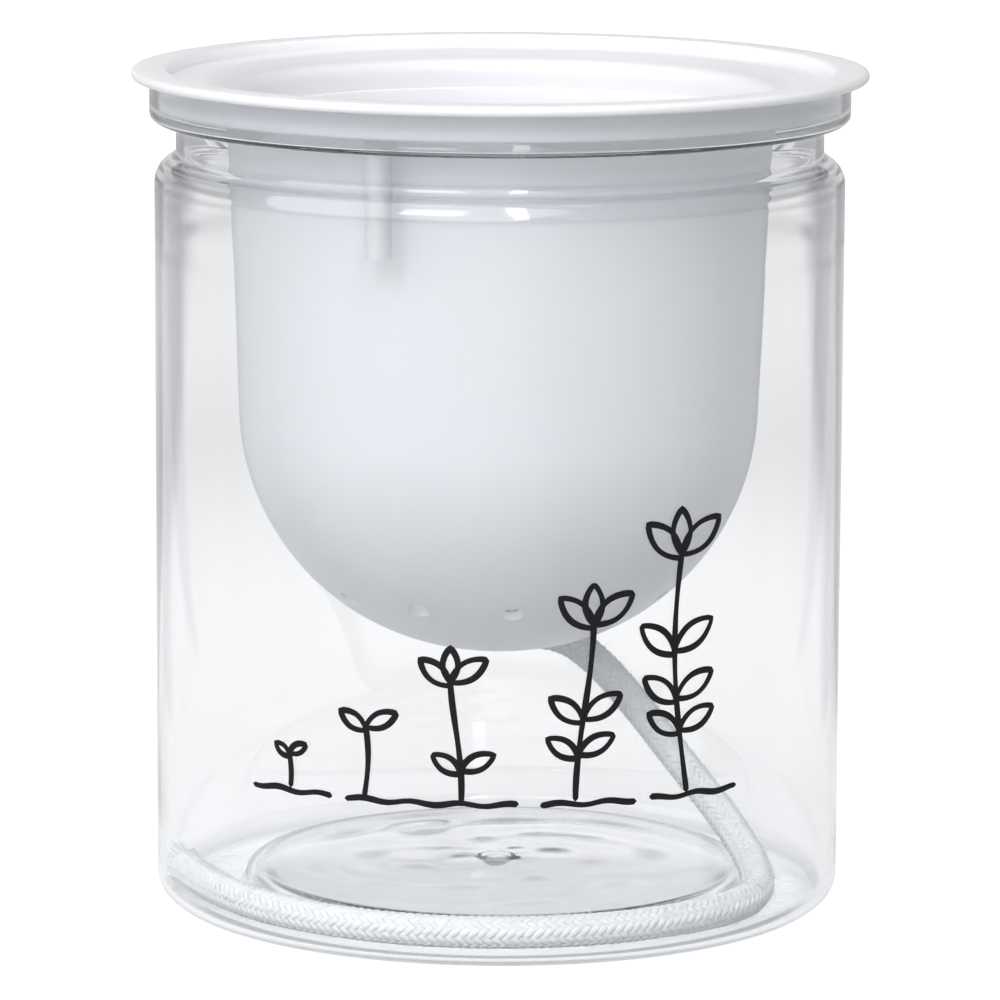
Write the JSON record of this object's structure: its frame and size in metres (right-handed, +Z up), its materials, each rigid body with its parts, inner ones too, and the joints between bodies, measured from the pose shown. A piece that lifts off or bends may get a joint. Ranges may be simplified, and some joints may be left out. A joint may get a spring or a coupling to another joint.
{
  "type": "hydroponic jar planter",
  "caption": "Clear straight-sided jar with a white round-bottomed pot hanging in its mouth, drain holes, a slim vent tube and a braided wick down into the water space.",
  "frame": {"origin": "centre of the jar's standing ring, on the surface it stands on", "axes": "+Z up along the jar's axis, the planter's front faces -Y, +X to its right seen from the front"},
  "size_m": [0.1066, 0.1066, 0.1215],
  "materials": {
    "clear_plastic": "clear blow-moulded plastic, high gloss",
    "white_plastic": "white moulded plastic, soft gloss",
    "cotton_cord": "undyed round braided cotton cord"
  },
  "bodies": {
    "jar": {"jar": "clear_plastic"},
    "pot": {"insert_pot": "white_plastic", "wick_tail": "cotton_cord", "wick_knot": "cotton_cord", "wick_head": "cotton_cord"}
  },
  "joints": [
    {"name": "pot_lift", "type": "slide", "parent": "jar", "child": "pot", "axis": [0, 0, 1], "range_m": [0, 0.125]}
  ]
}
